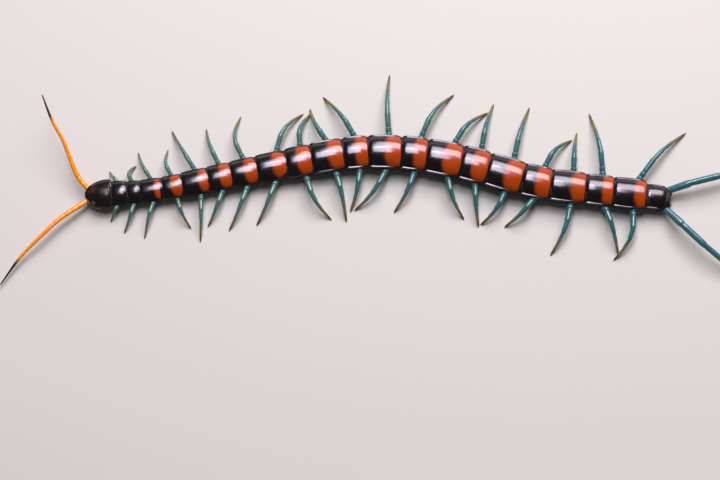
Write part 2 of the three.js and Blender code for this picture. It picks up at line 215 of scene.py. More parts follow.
def smooth_line(places, samples=200):
    """Points along a smooth curve through the places, evenly spaced."""
    places = np.asarray(places, float)
    padded = np.vstack([2 * places[0] - places[1], places, 2 * places[-1] - places[-2]])
    line = []
    for i in range(len(places) - 1):
        p0, p1, p2, p3 = near = padded[i : i + 4]
        d0, d1, d2 = np.maximum(np.linalg.norm(np.diff(near, axis=0), axis=1), CLOSEST) ** 0.5
        t1 = ((p1 - p0) / d0 - (p2 - p0) / (d0 + d1) + (p2 - p1) / d1) * d1
        t2 = ((p2 - p1) / d1 - (p3 - p1) / (d1 + d2) + (p3 - p2) / d2) * d1
        square, cube = 3 * (p2 - p1) - 2 * t1 - t2, 2 * (p1 - p2) + t1 + t2
        for u in np.linspace(0, 1, samples // (len(places) - 1), endpoint=False):
            line.append(p1 + t1 * u + square * u**2 + cube * u**3)
    line = np.array(line + [places[-1]])
    run = run_along(line)
    even = np.linspace(0, run[-1], samples)
    return np.stack([np.interp(even, run, line[:, axis]) for axis in range(3)], axis=1)


def place_on(line, share):
    """The place at a share of an evenly spaced line."""
    at = share * (len(line) - 1)
    return np.array([np.interp(at, np.arange(len(line)), line[:, axis]) for axis in range(3)])


def ahead_on(line, share, reach=0.01):
    """The line's direction at a share of its length."""
    return unit(place_on(line, min(1, share + reach)) - place_on(line, max(0, share - reach)))


print("a smooth line has", len(smooth_line([(0, 0, 0), (1, 0, 0)])), "points")

# %% Rings of points, beads and spikes
SPIKE_TAPER, SPIKE_POWER = 0.93, 1.3


def circle(sides):
    """Evenly spaced angles of a full turn."""
    return 2 * np.pi * np.arange(sides) / sides


def ring_of_points(centre, ahead, radius, sides, wide=1.0, high=1.0):
    """An oval ring square to the direction ahead."""
    across = unit(np.cross(UP, ahead))
    above = np.cross(ahead, across)
    angles = circle(sides)
    sideways = np.outer(np.sin(angles) * radius * wide, across)
    return centre + sideways + np.outer(np.cos(angles) * radius * high, above)


def ball(skin, centre, radii, axes, rows=8, sides=14, pole_gap=0.12, **values):
    """A closed oval bead with its poles on the third axis."""
    turns, axes = circle(sides), np.asarray(axes, float)
    rings = []
    for a in np.linspace(pole_gap, np.pi - pole_gap, rows):
        flat = np.stack([np.cos(turns) * radii[0], np.sin(turns) * radii[1]], axis=1) * np.sin(a)
        rings.append(centre + flat @ axes[:2] + axes[2] * (np.cos(a) * radii[2]))
    skin.patch(rings, **values)


def spike(skin, base, tip, radius, bend=(0, 0, 0), rows=6, sides=8, **values):
    """A tapering spine or claw. bend is how far its middle bows out."""
    base, tip, bend = (np.asarray(v, float) for v in (base, tip, bend))
    shares = np.linspace(0, 1, rows)
    line = [base + (tip - base) * u + bend * 4 * u * (1 - u) for u in shares]
    rings = []
    for i, u in enumerate(shares):
        ahead = unit(line[min(i + 1, rows - 1)] - line[max(i - 1, 0)])
        rings.append(ring_of_points(line[i], ahead, radius * (1 - SPIKE_TAPER * u**SPIKE_POWER), sides))
    skin.patch(rings, **{"share": shares, **values})


print("rings, beads and spikes can be made")

# %% [markdown]
# ## Building materials from nodes
# A material is a small graph of nodes. A few helpers keep the graphs readable: one adds a node with
# its settings and wires, and the others name the few kinds of node that are used again and again.
# Colours are written as they look on a screen and turned into the linear values that light works with.

# %% Helpers for node graphs
def paint(red, green, blue):
    """A screen colour from 0 to 255 as a linear colour."""
    def linear(c):
        c = c / 255
        return c / 12.92 if c < 0.04045 else ((c + 0.055) / 1.055) ** 2.4
    return (linear(red), linear(green), linear(blue), 1.0)


def add(tree, kind, inputs=(), **settings):
    """A node with its settings. inputs maps a socket's name or number to a value or a socket."""
    made = tree.nodes.new(kind)
    for name, value in settings.items():
        setattr(made, name, value)
    for socket, value in dict(inputs).items():
        if isinstance(value, bpy.types.NodeSocket):
            tree.links.new(value, made.inputs[socket])
        else:
            made.inputs[socket].default_value = value
    return made


def painted(tree, name):
    """The value that was painted on the mesh under this name."""
    return add(tree, "ShaderNodeAttribute", attribute_name=name).outputs["Fac"]


def sums(tree, operation, *values):
    """A math node over two or three values."""
    return add(tree, "ShaderNodeMath", dict(enumerate(values)), operation=operation).outputs[0]


def inverse(tree, value):
    return sums(tree, "SUBTRACT", 1.0, value)


def blend_colours(tree, share, first, second):
    """Mixes two colours by a share from 0 to 1. The colour sockets of the node are 6 and 7."""
    return add(tree, "ShaderNodeMix", {0: share, 6: first, 7: second}, data_type="RGBA").outputs[2]


def step_mask(tree, value, start, end):
    """A soft step from 0 at start to 1 at end."""
    inputs = {0: value, 1: start, 2: end}
    return add(tree, "ShaderNodeMapRange", inputs, interpolation_type="SMOOTHSTEP").outputs[0]


def cloud_noise(tree, scale, detail):
    """Smooth noise that is fixed to the object."""
    where = add(tree, "ShaderNodeTexCoord").outputs["Object"]
    return add(tree, "ShaderNodeTexNoise", {"Vector": where, "Scale": scale, "Detail": detail}).outputs["Fac"]


def new_material(name, roughness, coat=0.0, coat_roughness=0.03):
    """A material, its graph and its shader."""
    material = bpy.data.materials.new(name)
    material.use_nodes = True
    shader = material.node_tree.nodes["Principled BSDF"]
    values = {"Roughness": roughness, "Coat Weight": coat, "Coat Roughness": coat_roughness}
    for socket, value in values.items():
        shader.inputs[socket].default_value = value
    return material, material.node_tree, shader


print("an orange of 230, 118, 0 is", [round(v, 3) for v in paint(230, 118, 0)], "in light")

# %% [markdown]
# ## Horn, the hard outer layer
# All hard parts of the animal are horn. Close up it isn't a perfect mirror: it has cloudy patches,
# fine pits and places where the shine is duller. One group gives these three effects, and each
# material sets how strong and how fine they are, so that all hard parts look like one animal.

# %% The shared horn surface
CLOUD_DETAIL, PIT_DETAIL, CLOUD_HEIGHT, LEAST_ROUGHNESS = 4, 3, 0.35, 0.06
horn = bpy.data.node_groups.new("horn_surface", "ShaderNodeTree")
for socket, value in {"Cloud Scale": 600, "Pit Scale": 5000, "Shine": 0.2, "Shine Change": 0.1}.items():
    made = horn.interface.new_socket(socket, in_out="INPUT", socket_type="NodeSocketFloat")
    made.default_value = value
for socket in ("Cloud", "Roughness", "Height"):
    horn.interface.new_socket(socket, in_out="OUTPUT", socket_type="NodeSocketFloat")
given = horn.nodes.new("NodeGroupInput").outputs
cloud = cloud_noise(horn, given["Cloud Scale"], CLOUD_DETAIL)
pits = cloud_noise(horn, given["Pit Scale"], PIT_DETAIL)
smudge = sums(horn, "SUBTRACT", cloud, 0.5)
roughness = sums(horn, "MULTIPLY_ADD", smudge, given["Shine Change"], given["Shine"])
results = {
    "Cloud": cloud,
    "Roughness": sums(horn, "MAXIMUM", roughness, LEAST_ROUGHNESS),
    "Height": sums(horn, "MULTIPLY_ADD", cloud, CLOUD_HEIGHT, pits),
}
add(horn, "NodeGroupOutput", results)


def horn_material(name, colours, grain, shine, pits, roughness, coat=0.0, coat_roughness=0.03, layers=None):
    """A material over the horn surface. Its colour drifts between two, and layers lie over that.
    grain is how fine the clouds and the pits are, shine the roughness and its change, pits their
    depth in mm and strength. roughness is for a viewer that can't read the graph."""
    material, tree, shader = new_material(name, roughness, coat, coat_roughness)
    settings = dict(zip(("Cloud Scale", "Pit Scale", "Shine", "Shine Change"), grain + shine))
    surface = add(tree, "ShaderNodeGroup", settings, node_tree=horn).outputs
    colour = blend_colours(tree, surface["Cloud"], *colours)
    for mask, over in layers(tree, surface["Cloud"]) if layers else ():
        over = blend_colours(tree, surface["Cloud"], *over) if isinstance(over, list) else over
        colour = blend_colours(tree, mask, colour, over)
    bump = {"Height": surface["Height"], "Distance": pits[0] * MM, "Strength": pits[1]}
    tree.links.new(colour, shader.inputs["Base Color"])
    tree.links.new(surface["Roughness"], shader.inputs["Roughness"])
    tree.links.new(add(tree, "ShaderNodeBump", bump).outputs["Normal"], shader.inputs["Normal"])
    return material, shader


print("horn surface group has", len(horn.nodes), "nodes")

# %% [markdown]
# ## The finish of the back plates
# A back plate is near-black and mirror-like, and its hind part is a burnt-orange band. The band's
# front edge bows forward in the middle and is soft, its sides stop short of the rim, and the plate's
# rear edge behind it is dark brown. Each plate has its own painted start and end of the band, so one
# material serves all of them, and noise keeps the edges from being ruled lines.

# %% Back plate material
HORN_IOR, PLATE_TINT = 1.56, (0.97, 0.9, 1.0, 1.0)
BAND_BOW, BAND_BOW_POWER = 0.14, 3.0
WANDER, WANDER_SCALE, WANDER_DETAIL = 0.12, 700, 5
SOFT_AHEAD, SOFT_BEHIND, SOFT_END = 0.06, 0.1, 0.02


def plate_layers(tree, cloud):
    """The brown rear edge, and the orange band over it."""
    along, band_to = painted(tree, "along"), painted(tree, "band_to")
    yield step_mask(tree, along, start=0.965, end=0.998), paint(52, 24, 16)
    outwards = sums(tree, "ABSOLUTE", painted(tree, "across"))
    shift = sums(tree, "MULTIPLY_ADD", cloud_noise(tree, WANDER_SCALE, WANDER_DETAIL), WANDER, -WANDER / 2)
    bow = sums(tree, "MULTIPLY", sums(tree, "POWER", outwards, BAND_BOW_POWER), BAND_BOW)
    edge = sums(tree, "ADD", sums(tree, "ADD", painted(tree, "band_from"), bow), shift)
    soft_edge = sums(tree, "SUBTRACT", edge, SOFT_AHEAD), sums(tree, "ADD", edge, SOFT_BEHIND)
    past_start = step_mask(tree, along, *soft_edge)
    past_end = step_mask(tree, along, sums(tree, "SUBTRACT", band_to, SOFT_END), band_to)
    past_side = step_mask(tree, sums(tree, "ADD", outwards, shift), start=0.8, end=0.96)
    band = sums(tree, "MULTIPLY", past_start, inverse(tree, past_end))
    band = sums(tree, "MULTIPLY", band, inverse(tree, past_side))
    yield band, [paint(132, 44, 0), paint(174, 66, 0)]


plate_finish, shader = horn_material(
    "black_and_orange_plate", [paint(8, 5, 6), paint(20, 13, 14)], grain=(420, 4200), shine=(0.2, 0.12),
    pits=(0.04, 0.25), roughness=0.15, coat=0.3, coat_roughness=0.14, layers=plate_layers,
)
shader.inputs["IOR"].default_value = HORN_IOR
shader.inputs["Specular Tint"].default_value = PLATE_TINT
print("back plate finish made")

# %% [markdown]
# ## The finish of the other horn
# The head is black with a warm brown cast. The legs run from blue-green at the hip to olive and
# brown at the foot, and are a little darker at every joint. The feelers are saturated orange with a
# dark end. The claws are red-brown with black points. On these limbs the colour changes along the
# length, so it is mixed by the share of the length that was painted on the mesh.

# %% Head and claw materials
def head_layers(tree, cloud):
    """Reddish patches where the head is painted warm."""
    patches = step_mask(tree, cloud, start=0.42, end=0.66)
    yield sums(tree, "MULTIPLY", patches, painted(tree, "warm")), paint(120, 58, 26)


def claw_layers(tree, cloud):
    """The black point."""
    yield step_mask(tree, painted(tree, "share"), start=0.45, end=0.9), paint(16, 9, 7)


head_finish, shader = horn_material(
    "black_head", [paint(9, 6, 5), paint(24, 16, 13)], grain=(500, 5200), shine=(0.19, 0.16),
    pits=(0.04, 0.3), roughness=0.16, coat=0.3, coat_roughness=0.1, layers=head_layers,
)
shader.inputs["IOR"].default_value = HORN_IOR
claw_finish, shader = horn_material(
    "claw_horn", [paint(112, 50, 18), paint(150, 76, 30)], grain=(900, 6000), shine=(0.2, 0.12),
    pits=(0.03, 0.25), roughness=0.2, coat=0.3, layers=claw_layers,
)
print("head and claw finishes made")

# %% Leg and feeler materials
LEG_JOINT_SHOWS, SEAM_SHOWS, DARK_WANDER = 0.5, 0.45, 0.05


def leg_layers(tree, cloud):
    """The bluer rear legs, the olive foot, its brown end and the darker joints."""
    share = painted(tree, "share")
    yield painted(tree, "rank"), [paint(24, 72, 80), paint(60, 112, 118)]
    yield step_mask(tree, share, start=0.62, end=0.84), paint(104, 104, 52)
    yield step_mask(tree, share, start=0.86, end=0.97), paint(96, 58, 26)
    yield sums(tree, "MULTIPLY", painted(tree, "joint"), LEG_JOINT_SHOWS), paint(40, 70, 72)


def feeler_layers(tree, cloud):
    """The brown seams, and the dark end with a cloudy edge."""
    yield sums(tree, "MULTIPLY", painted(tree, "joint"), SEAM_SHOWS), paint(150, 62, 10)
    share = sums(tree, "MULTIPLY_ADD", cloud, DARK_WANDER, painted(tree, "share"))
    yield step_mask(tree, share, start=0.74, end=0.83), paint(58, 28, 24)


leg_finish, shader = horn_material(
    "blue_green_leg", [paint(56, 92, 84), paint(98, 130, 116)], grain=(1100, 7000), shine=(0.16, 0.1),
    pits=(0.03, 0.25), roughness=0.22, coat=0.25, coat_roughness=0.12, layers=leg_layers,
)
feeler_finish, shader = horn_material(
    "orange_feeler", [paint(230, 118, 0), paint(250, 156, 14)], grain=(900, 9000), shine=(0.22, 0.1),
    pits=(0.02, 0.3), roughness=0.2, coat=0.2, coat_roughness=0.15, layers=feeler_layers,
)
print("leg and feeler finishes made")

# %% [markdown]
# ## Skin, belly and eyes
# Between the plates the animal is covered in dull, folded skin, with small hard plates set in it.
# The belly plates are olive-brown and less shiny than the back. The eyes are black beads.

# %% Flank, belly and eye materials
SKIN_SHINE = 0.25


def flank_layers(tree, cloud):
    """The small hard plates, and the paler skin at the joints."""
    yield painted(tree, "hard"), paint(20, 14, 14)
    yield painted(tree, "pale"), paint(72, 56, 48)


flank_finish, shader = horn_material(
    "flank_skin", [paint(13, 8, 8), paint(34, 24, 21)], grain=(1300, 4200), shine=(0.55, 0.2),
    pits=(0.12, 0.6), roughness=0.5, layers=flank_layers,
)
shader.inputs["Specular IOR Level"].default_value = SKIN_SHINE
belly_finish, shader = horn_material(
    "belly_plate", [paint(72, 66, 48), paint(112, 100, 74)], grain=(500, 5000), shine=(0.3, 0.16),
    pits=(0.05, 0.35), roughness=0.3, coat=0.15,
)
eye_finish, shader = horn_material(
    "eye_bead", [paint(4, 4, 6), paint(22, 18, 20)], grain=(2500, 9000), shine=(0.08, 0.04),
    pits=(0.01, 0.1), roughness=0.06, coat=1.0,
)
print("materials so far:", len(bpy.data.materials))

# %% [markdown]
# ## Back plates
# Each ring wears a stiff arched plate. It is narrow in front, where it slips under the plate ahead,
# and ends in a lip that overhangs the next. A rolled rim runs along each side with a groove inside
# it, low on the front rings and full from the eleventh on, and two fine seams run lengthwise near the
# middle. The rim is what draws the thin bright line along the flank, so it is real geometry. One grid
# of points per plate is bent into this shape.

# %% The grid and the bands of a back plate
HALF_COLUMNS = [
    0, 0.08, 0.16, 0.22, 0.252, 0.27, 0.288, 0.32, 0.4, 0.48, 0.56, 0.64,
    0.71, 0.77, 0.82, 0.86, 0.89, 0.91, 0.93, 0.95, 0.97, 0.985, 1.0,
]
PLATE_ROWS = [
    0, 0.008, 0.02, 0.04, 0.07, 0.11, 0.16, 0.22, 0.29, 0.37, 0.46, 0.55,
    0.64, 0.72, 0.79, 0.85, 0.895, 0.93, 0.957, 0.976, 0.989, 0.997, 1.0,
]
# Where the orange band starts and ends on each plate, as shares of its length. 2 is past the plate.
BANDS = [
    (2, 2), (2, 2), (0.64, 0.88), (0.44, 0.96), (0.62, 0.96), (0.48, 0.97), (0.5, 0.97),
    (0.5, 0.95), (0.4, 0.95), (0.5, 0.95), (0.46, 0.95), (0.5, 0.98), (0.48, 0.97), (0.47, 1),
    (0.42, 1), (0.48, 0.97), (0.46, 0.98), (0.56, 0.97), (0.56, 0.96), (0.63, 0.98), (2, 2),
]


def mirrored(shares):
    """Shares of the half width, made into columns from the left edge to the right."""
    return np.array([-share for share in reversed(shares[1:])] + shares)


def ridge(value, height, centre, reach):
    """A smooth hump of a given height round a centre."""
    away = abs(value - centre) / reach
    return np.where(away < 1, height * (1 + np.cos(np.pi * away)) / 2, 0)


def drop(value, depth, reach):
    """A drop that is deepest at zero and has faded out at the reach."""
    return depth * np.clip(1 - value / reach, 0, 1) ** 2


def uneven(points, *waves):
    """Lifts points by smooth noise. Each wave is its height and how closely it repeats."""
    for point in points:
        point[2] += sum(height * noise.noise(Vector(point * closeness)) for height, closeness in waves)
    return points


print("a plate has", len(PLATE_ROWS), "rows and", len(mirrored(HALF_COLUMNS)), "columns")

# %% The outline and the arch of a back plate
# The rounding of each end: its longest reach in mm, its reach as a share of the length, its width.
FRONT_END, REAR_END, END_POWER = (0.9, 0.18, 0.86), (1.4, 0.24, 0.78), 2.2
# Drops towards the ends, as a depth and a reach. The shoulder and the turned edge reach in mm.
FRONT_WAIST, FRONT_SLOPE, REAR_SLOPE = (0.04, 0.5), (0.06, 0.45), (0.07, 0.42)
SHOULDER, TURNED_EDGE = (0.13, 0.9), (0.02, 0.4)
PLATE_ARCH, PLATE_ARCH_POWER = 0.36, 2.1


def rounded_end(distance, length, end):
    """Width share near an end: narrow at the end itself, full at the reach."""
    longest, share, narrow = end
    rest = np.clip(1 - distance / min(longest, share * length), 0, 1)
    return narrow + (1 - narrow) * (1 - rest**END_POWER) ** (1 / END_POWER)


def plate_width_share(t, length):
    ends = rounded_end(t * length, length, FRONT_END) * rounded_end((1 - t) * length, length, REAR_END)
    return ends * (1 - drop(t, *FRONT_WAIST))


def plate_height_share(t, length):
    front = drop(t * length, *SHOULDER) + drop(t, *FRONT_SLOPE)
    return 1 - front - drop(1 - t, *REAR_SLOPE) - drop((1 - t) * length, *TURNED_EDGE)


def arched(out, half, height):
    """Height of the arch at a share out from the middle, and its slope."""
    up = height * (1 - PLATE_ARCH * abs(out) ** PLATE_ARCH_POWER)
    slope = -height * PLATE_ARCH * PLATE_ARCH_POWER * abs(out) ** (PLATE_ARCH_POWER - 1) * np.sign(out) / half
    return up, slope


print("a 6 mm plate is", round(float(plate_width_share(0, 6)), 2), "of its width at the front edge")

# %% The relief of a back plate
# Ridges as a height in mm, a place and a reach. The rim's height is a share of the half width.
RIM, GROOVE, SEAM, NECK = (0.056, 0.945, 0.05), (0.06, 0.86, 0.06), (0.012, 0.27, 0.018), (0.05, 0.16, 0.05)
RIM_START, RIM_END, RIM_FADE, FADE_IN, FADE_OUT = 0.06, 0.85, 0.25, 0.05, 0.04
RIM_FROM_RING, RIM_RINGS, RIM_LEAST, SEAM_RINGS, NECK_BOW = 7, 3, 0.2, 3, 0.08


def plate_relief(ring, t, outs):
    """How far the rim, the grooves and the seams stand off the arch, in mm."""
    fade = np.clip(min(t / FADE_IN, (1 - t) / FADE_OUT), 0, 1)
    rim_fade = np.clip(min(t / RIM_START, (RIM_END - t) / RIM_FADE), 0, 1)
    rise = np.clip((ring - RIM_FROM_RING) / RIM_RINGS, RIM_LEAST, 1) * RING_WIDTHS[ring] / 2
    neck = ridge(t - NECK_BOW * outs**2, *NECK) if ring == 0 else 0
    seams = ridge(abs(outs), *SEAM) * min(ring / SEAM_RINGS, 1)
    return rise * rim_fade * ridge(abs(outs), *RIM) - fade * (ridge(abs(outs), *GROOVE) + seams) - neck


print("rim stands", round(RIM[0] * max(RING_WIDTHS) / 2, 2), "mm high at most")

# %% Make the 21 back plates
PLATE_LIP, PLATE_SHEET, FIRST_PLATE_AHEAD, LAST_PLATE_SHORT = 0.35, 0.13, 0.25, 0.1
LOW_RINGS, LOW_FRONT = 2, (0.08, 0.7)
PLATE_WAVES = ((0.03, 0.45), (0.012, 1.7))
TRUNK_NODES = ["trunk_01"] + [f"trunk_{k:02d}_{k + 1:02d}" for k in range(2, RINGS, 2)]


def ring_piece(skin, kind, ring, finish, sheet):
    """The finished plate of a ring, counted from 0. It stands for the solid that holds the ring."""
    return skin.piece(f"{kind}_{ring + 1:02d}", finish, kind, [TRUNK_NODES[(ring + 1) // 2]], sheet)


def back_plate(ring):
    link = ring + 1
    start = JOINTS[link] - (FIRST_PLATE_AHEAD if ring == 0 else 0.0)
    length = JOINTS[link + 1] + (PLATE_LIP if ring < RINGS - 1 else -LAST_PLATE_SHORT) - start
    outs = mirrored(HALF_COLUMNS)
    rows = []
    for t in PLATE_ROWS:
        place, back, right = chain_at(start + length * t, stiff=link)
        half = RING_WIDTHS[ring] / 2 * plate_width_share(t, length)
        low = drop(t, *LOW_FRONT) if ring < LOW_RINGS else 0
        up, slope = arched(outs, half, ring_height(ring) * (plate_height_share(t, length) - low))
        raised = plate_relief(ring, t, outs) / np.sqrt(1 + slope**2)
        points = place + np.outer(outs * half - slope * raised, right)
        points[:, 2] = BELLY_HEIGHT + up + raised
        rows.append(uneven(points, *PLATE_WAVES))
    skin = Skin()
    values = {"across": outs[::-1][None], "band_from": BANDS[ring][0], "band_to": BANDS[ring][1]}
    skin.patch(np.array(rows)[:, ::-1], loop=False, along=PLATE_ROWS, **values)
    return ring_piece(skin, "back_plate", ring, plate_finish, PLATE_SHEET)


back_plates = [back_plate(ring) for ring in range(RINGS)]
print("back plates:", len(back_plates))

# %% [markdown]
# ## Flank skin
# Under the plates the body is a soft tube. It bulges round each hip, is pinched between rings, and
# carries small hard plates and, on some rings, an oval breathing hole on each side. The tube is one
# skin from the head to the tail, so that no seam shows at any bend. Bulges and folds are sums of
# smooth humps, which is quicker to tune than sculpting and gives the same result every time.

# %% The section of the flank
# Half of the section, from the back to the belly, as shares of the half width and of the height.
FLANK_SECTION = [
    (0, 0.9), (0.45, 0.87), (0.75, 0.76), (0.92, 0.63), (0.96, 0.54), (0.93, 0.46),
    (0.99, 0.36), (1.0, 0.27), (0.92, 0.14), (0.72, 0.05), (0.4, 0.02), (0, 0.02),
]
FLANK_COLUMNS, SECTION_TALL = 72, 1.2
middles = [JOINTS[k + 1] + RING_LENGTHS[k] / 2 for k in range(RINGS)]
heights = [ring_height(k) for k in range(RINGS)]


def flank_size(distance):
    """Half width and height of the soft tube at a distance."""
    return np.interp(distance, middles, RING_WIDTHS) / 2, np.interp(distance, middles, heights)


def flank_section():
    """The whole section in evenly spaced columns."""
    outs, ups = np.array(FLANK_SECTION).T
    run = run_along(np.stack([outs, ups * SECTION_TALL], axis=1))
    even = np.linspace(0, 1, FLANK_COLUMNS // 2 + 1) * run[-1]
    outs, ups = (np.interp(even, run, v) for v in (outs, ups))
    return np.concatenate([outs, -outs[-2:0:-1]]), np.concatenate([ups, ups[-2:0:-1]])


print("flank section has", len(flank_section()[0]), "columns")

# %% The folds of the flank
# Small plates in the flank: share along the ring, share of the height, half length and half height.
SMALL_PLATES = [
    (0.16, 0.42, 0.1, 0.07), (0.16, 0.24, 0.1, 0.08), (0.36, 0.47, 0.12, 0.05), (0.38, 0.3, 0.09, 0.09),
    (0.9, 0.42, 0.08, 0.08), (0.92, 0.24, 0.06, 0.08), (0.66, 0.46, 0.14, 0.04),
]
SMALL_EDGE, SMALL_RISE, SMALL_OUT = 3, 0.035, 0.8
FLANK_STEP, FLANK_PAST, FLANK_LIFT = 0.26, 0.9, 0.03
HIP_ALONG, HIP_UP, HIP_REACH, HIP_SWELL = 0.68, 0.27, 0.24, 0.1
PINCH, PINCH_REACH, PINCH_UP = 0.05, 0.7, 0.6
FOLD_DEPTH, FOLDS_ALONG, FOLDS_UP, FOLDS_FROM, FOLDS_TO = 0.028, 9, 6, 0.1, 0.6
# The tube narrows at both ends: over how many mm, and to which share at least.
FRONT_CAP, REAR_CAP, CAP_PAST, CAP_SINKS = (1.0, 0.55), (1.2, 0.5), 1.0, 0.15
PALE_JOINT, PALE_UP = (0.6, 0.0, 0.09), 0.3


def flank_ring(distance, outs, ups):
    """One row of the tube, with how hard and how pale the skin is at each point."""
    place, back, right = chain_at(distance)
    half, height = flank_size(distance)
    link = max(1, link_at(distance))
    length = RING_LENGTHS[link - 1]
    t = (distance - JOINTS[link]) / length
    to_joint = min(t, 1 - t)
    pinch = PINCH * math.exp(-((to_joint * length / PINCH_REACH) ** 2))
    front_cap = np.clip((distance - HEAD_LENGTH + CAP_PAST) / FRONT_CAP[0], FRONT_CAP[1], 1)
    rear_cap = np.clip((JOINTS[-1] + CAP_PAST - distance) / REAR_CAP[0], REAR_CAP[1], 1) ** 0.5
    hip = ridge(t, 1, HIP_ALONG, HIP_REACH) * ridge(ups, 1, HIP_UP, HIP_REACH)
    hard = np.zeros(len(ups))
    for along, up, long, tall in SMALL_PLATES:
        reach = ((t - along) / long) ** 2 + ((ups - up) / tall) ** 2
        hard = np.maximum(hard, np.clip((1 - reach) * SMALL_EDGE, 0, 1))
    hard = hard * (abs(outs) > SMALL_OUT)
    folded = (ups > FOLDS_FROM) * (ups < FOLDS_TO) * (1 - hard)
    folds = FOLD_DEPTH * np.sin(distance * FOLDS_ALONG + ups * FOLDS_UP) * folded
    swell = 1 - pinch + HIP_SWELL * hip + SMALL_RISE * hard + folds
    points = place + np.outer(outs * half * swell * front_cap * rear_cap, right)
    sunk = (1 - pinch * PINCH_UP) * (1 - CAP_SINKS + CAP_SINKS * front_cap)
    points[:, 2] = BELLY_HEIGHT + FLANK_LIFT + ups * height * sunk
    return points, np.maximum(hard, hip), ridge(to_joint, *PALE_JOINT) * (ups < PALE_UP)


print("small plates beside each ring:", 2 * len(SMALL_PLATES))

# %% Make the flank skin and its breathing holes
# The rings with a hole, counted from 0, and how far along its ring each hole lies.
HOLE_RINGS, HOLE_ALONG = (2, 4, 7, 9, 11, 13, 15, 17, 19), 0.55
HOLE_SIDES, HOLE_RIM_SIDES = 18, 8


def breathing_hole(skin, ring, side, out=0.94, up=0.45, long=0.34, tall=0.17, rim=0.32, rise=0.09):
    """A raised oval rim on the flank. rim is its thickness as a share of the oval."""
    place, back, right = chain_at(JOINTS[ring + 1] + HOLE_ALONG * RING_LENGTHS[ring])
    height = BELLY_HEIGHT + up * ring_height(ring)
    centre = place + right * side * RING_WIDTHS[ring] / 2 * out + UP * height
    turns = circle(HOLE_SIDES)
    oval = np.outer(np.cos(turns) * long, back) + np.outer(np.sin(turns) * tall, UP)
    rows = []
    for turn in circle(HOLE_RIM_SIDES):
        rows.append(centre + oval * (1 + rim * math.cos(turn)) + right * side * rise * math.sin(turn))
    skin.patch(np.array(rows + rows[:1])[:, ::side], caps=False, hard=1.0)


distances = np.arange(HEAD_LENGTH - FLANK_PAST, JOINTS[-1] + FLANK_PAST, FLANK_STEP)
flank_parts = [flank_ring(distance, *flank_section()) for distance in distances]
rows, hards, pales = (np.array(part)[:, ::-1] for part in zip(*flank_parts))
flank = Skin()
flank.patch(rows, hard=hards, pale=pales)
for ring in HOLE_RINGS:
    for side in SIDES.values():
        breathing_hole(flank, ring, side)
flank.piece("flank_skin", flank_finish, "flank_skin", TRUNK_NODES)
print("flank skin rows:", len(rows), "breathing holes:", 2 * len(HOLE_RINGS))

# %% [markdown]
# ## Belly plates
# Seen from below, each ring has a flat, nearly square plate with rounded corners and two shallow
# lengthwise grooves. They are made like the back plates, from one bent grid each.

# %% Make the 21 belly plates
BELLY_COLUMNS = [0, 0.15, 0.28, 0.35, 0.4, 0.45, 0.52, 0.66, 0.8, 0.9, 0.96, 1.0]
BELLY_ROWS = [0, 0.03, 0.08, 0.16, 0.28, 0.42, 0.56, 0.7, 0.82, 0.91, 0.97, 1.0]
BELLY_START, BELLY_LENGTH, BELLY_HALF, BELLY_LIFT, BELLY_SHEET = 0.03, 0.92, 0.33, 0.02, 0.12
CORNER, LAST_NARROWS, CROWN, EDGE = (0.16, 0.14), 0.22, 0.07, 0.16
CROWN_START, CROWN_LENGTH = 0.1, 0.8
FURROW, FURROW_START, FURROW_STOP = (0.05, 0.4, 0.1), 0.1, 0.15


def belly_plate(ring):
    link = ring + 1
    outs = mirrored(BELLY_COLUMNS)
    rows = []
    for t in BELLY_ROWS:
        distance = JOINTS[link] + RING_LENGTHS[ring] * (BELLY_START + BELLY_LENGTH * t)
        place, back, right = chain_at(distance, stiff=link)
        narrow = drop(min(t, 1 - t), *CORNER) + (LAST_NARROWS * t if ring == RINGS - 1 else 0)
        points = place + np.outer(outs * RING_WIDTHS[ring] * BELLY_HALF * (1 - narrow), right)
        crown = CROWN * (1 - outs**2) * math.sin(math.pi * (CROWN_START + CROWN_LENGTH * t))
        furrow = ridge(abs(outs), *FURROW) * min(1, t / FURROW_START) * min(1, (1 - t) / FURROW_STOP)
        points[:, 2] = BELLY_HEIGHT + BELLY_LIFT - crown + furrow + EDGE * outs**4
        rows.append(points)
    skin = Skin()
    skin.patch(rows, loop=False)
    return ring_piece(skin, "belly_plate", ring, belly_finish, BELLY_SHEET)


belly_plates = [belly_plate(ring) for ring in range(RINGS)]
print("belly plates:", len(belly_plates))

# %% [markdown]
# ## The head
# From above the head is a low, broad shield, half an ellipse in plan, with a thin rim, a short groove
# at the front and a low fold before its rear edge, which slips under the first back plate. Below it
# lies the head capsule, which carries the mouth. Shield and capsule are separate pieces, as they are
# on the animal.

# %% Head sizes
HEAD_FRONT = 4.7
HEAD_TAPER, HEAD_ROUNDING, NECK_NARROWING = 1.9, 0.5, 0.08
HEAD_BASE, HEAD_TOP = 1.8, 3.75
FRONT_RISE, FRONT_DROP, FRONT_POWER = 0.35, 0.75, 2.2
DROOP, DROOP_LESS, DROOP_REACH, DROOP_POWER = 0.52, 0.26, 1.8, 2.2


def head_sizes(distance):
    """Half width, base and top of the head at a distance from the snout."""
    rest = min(max(1 - distance / HEAD_FRONT, 0), 1)
    neck = 1 - NECK_NARROWING * max(0, distance - HEAD_FRONT)
    half = HEAD_WIDTH / 2 * (1 - rest**HEAD_TAPER) ** HEAD_ROUNDING * neck
    return half, HEAD_BASE + FRONT_RISE * rest, HEAD_TOP - FRONT_DROP * rest**FRONT_POWER


def head_skin(distance, share):
    """A place on the shield at a share of the half width, plus for the right side."""
    half, base, top = head_sizes(distance)
    place, back, right = chain_at(distance, stiff=0)
    droop = DROOP - DROOP_LESS * max(0, 1 - distance / DROOP_REACH)
    height = base + (top - base) * (1 - droop * abs(share) ** DROOP_POWER)
    return place + right * half * share + UP * height


